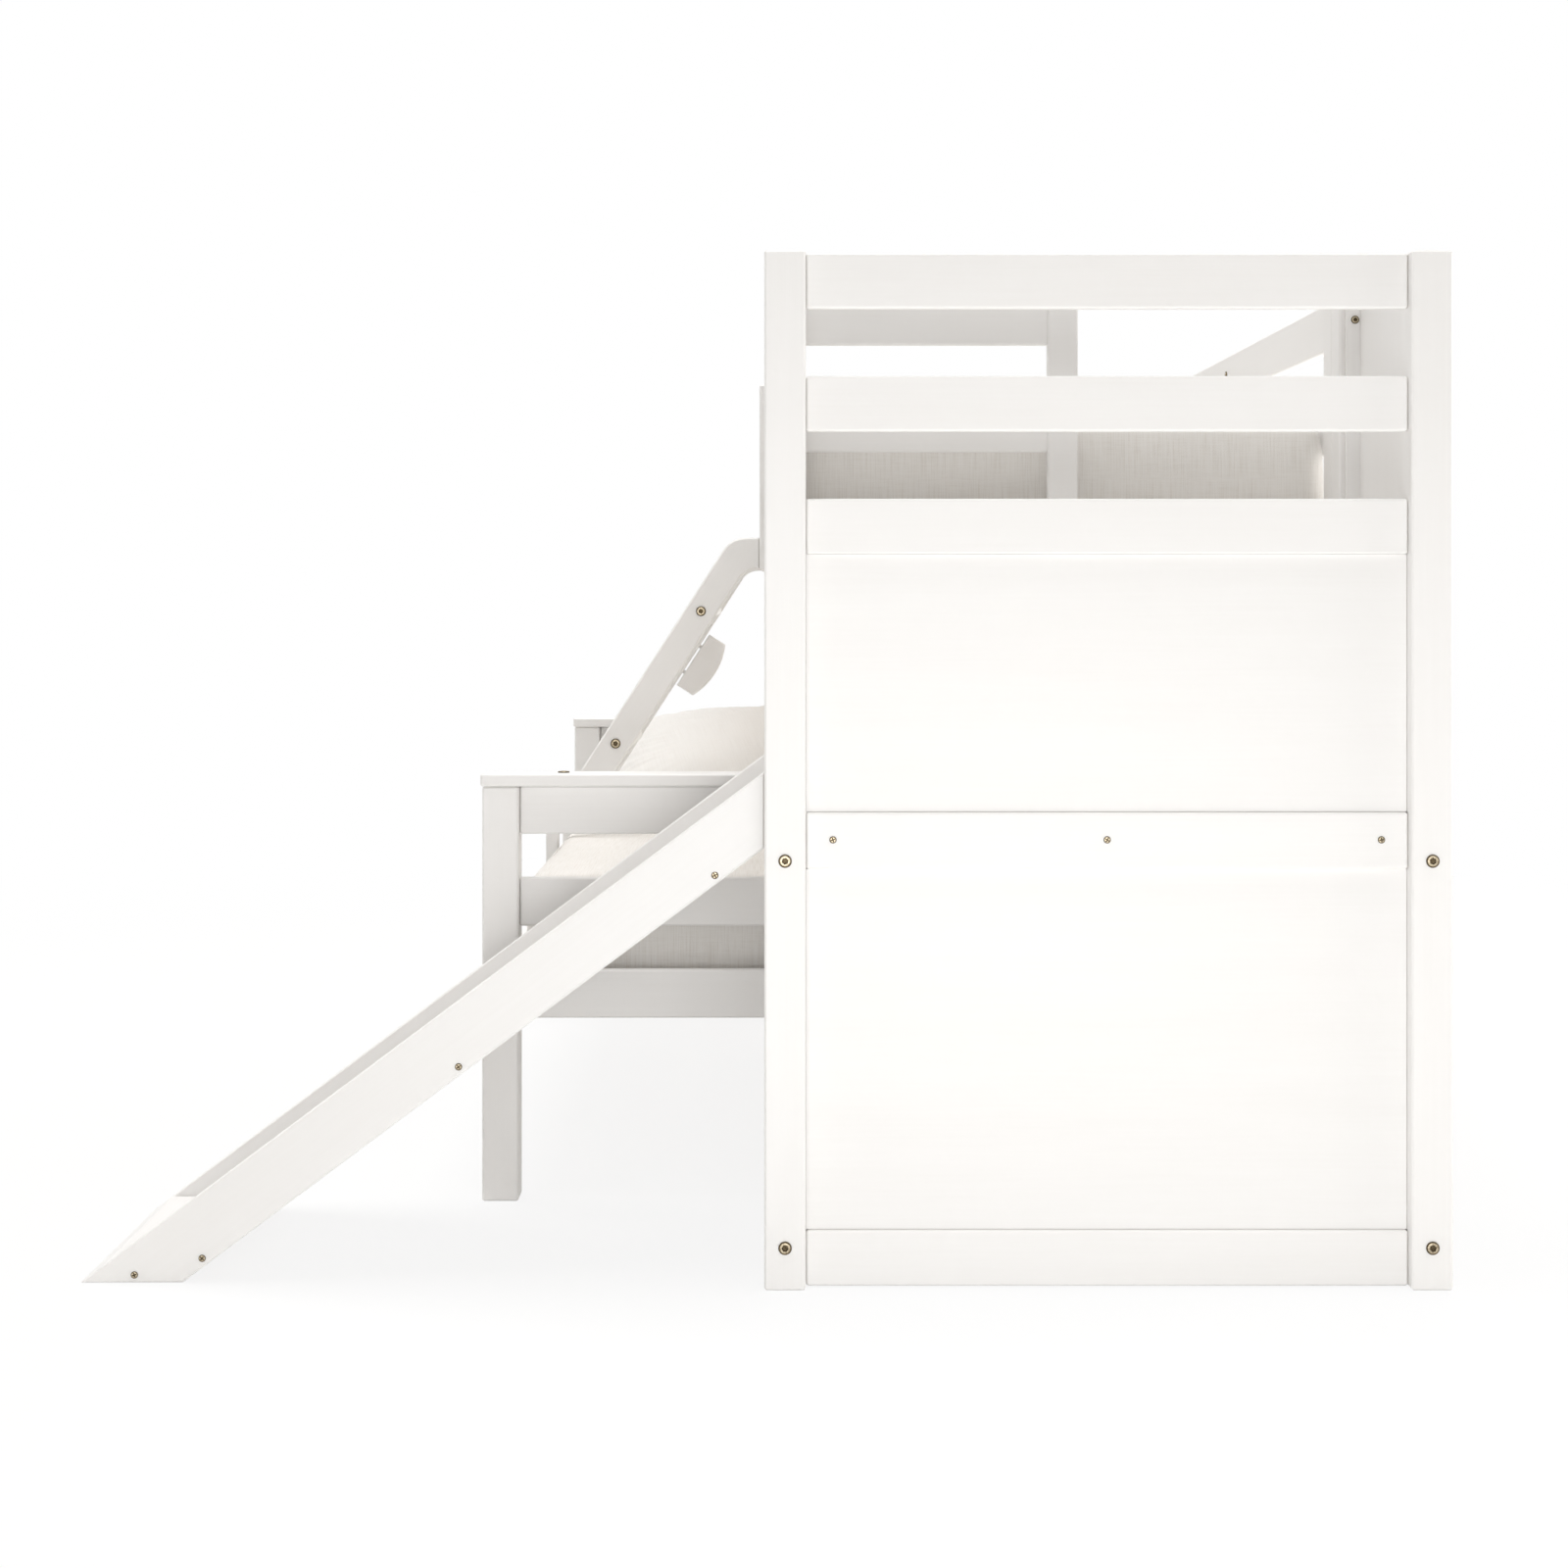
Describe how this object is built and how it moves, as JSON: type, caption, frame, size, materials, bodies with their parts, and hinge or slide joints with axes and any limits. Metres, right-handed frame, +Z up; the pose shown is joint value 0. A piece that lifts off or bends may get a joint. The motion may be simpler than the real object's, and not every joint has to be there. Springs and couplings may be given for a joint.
{
  "type": "bunk bed with slide",
  "caption": "White painted wooden twin-over-full bunk bed with a stepped landing tower and a slide at its end, a bent ladder on the open side, mattresses and pillows.",
  "frame": {"origin": "on the floor, under the centre of the whole bed's bounding box", "axes": "+X towards the wall side, +Y along the bunk away from the landing tower, +Z up; the slide runs down towards -X"},
  "size_m": [2.058, 2.5782, 1.551],
  "materials": {
    "white_paint": "satin white paint",
    "bare_pine": "planed pine",
    "linen": "woven linen",
    "cotton": "woven cotton"
  },
  "bodies": {
    "bed_frame": {"tower_front_left_post": "white_paint", "tower_front_right_post": "white_paint", "tower_rear_left_post": "white_paint", "tower_rear_right_post": "white_paint", "tower_bottom_rail": "white_paint", "tower_middle_rail": "white_paint", "tower_upper_rail": "white_paint", "tower_guard_rail": "white_paint", "tower_top_rail": "white_paint", "tower_lower_panel": "white_paint", "tower_upper_panel": "white_paint", "tower_slide_side_upper_rail": "white_paint", "tower_slide_side_lower_rail": "white_paint", "tower_wall_side_upper_rail": "white_paint", "tower_wall_side_lower_rail": "white_paint", "tower_rear_rail": "white_paint", "tower_wall_panel": "white_paint", "landing_deck": "white_paint", "landing_steps": "white_paint", "slide_near_side": "white_paint", "slide_far_side": "white_paint", "slide_panel": "white_paint", "slide_exit_board": "white_paint", "slide_crossbar_1": "bare_pine", "slide_crossbar_2": "bare_pine", "slide_crossbar_3": "bare_pine", "near_outer_post": "white_paint", "near_middle_post": "white_paint", "near_wall_post": "white_paint", "far_outer_post": "white_paint", "far_middle_post": "white_paint", "far_wall_post": "white_paint", "near_bottom_rail": "white_paint", "near_middle_board": "white_paint", "near_top_rail": "white_paint", "near_cap": "white_paint", "near_inner_end_panel": "white_paint", "near_upper_end_frame": "white_paint", "far_outer_headboard": "white_paint", "far_inner_headboard": "white_paint", "far_upper_end_frame": "white_paint", "full_ladder_side_rail": "white_paint", "full_wall_side_rail": "white_paint", "twin_ladder_side_rail": "white_paint", "twin_wall_side_rail": "white_paint", "ladder_side_near_guard": "white_paint", "ladder_side_far_guard": "white_paint", "wall_side_guard": "white_paint", "full_slats": "bare_pine", "full_centre_beam": "bare_pine", "twin_slats": "bare_pine", "ladder_near_stringer": "white_paint", "ladder_far_stringer": "white_paint", "ladder_tread_1": "white_paint", "ladder_tread_2": "white_paint", "ladder_curved_block": "white_paint", "lower_mattress": "linen"},
    "upper_mattress": {"upper_mattress": "linen"},
    "back_pillow": {"back_pillow": "cotton"},
    "front_pillow": {"front_pillow": "cotton"}
  },
  "joints": [
    {"name": "upper_mattress_lift", "type": "slide", "parent": "bed_frame", "child": "upper_mattress", "axis": [0, 0, 1], "range_m": [0, 0.42]},
    {"name": "back_pillow_pull", "type": "slide", "parent": "bed_frame", "child": "back_pillow", "axis": [-1, 0, 0], "range_m": [0, 0.85]},
    {"name": "front_pillow_pull", "type": "slide", "parent": "bed_frame", "child": "front_pillow", "axis": [-1, 0, 0], "range_m": [0, 0.85]}
  ]
}
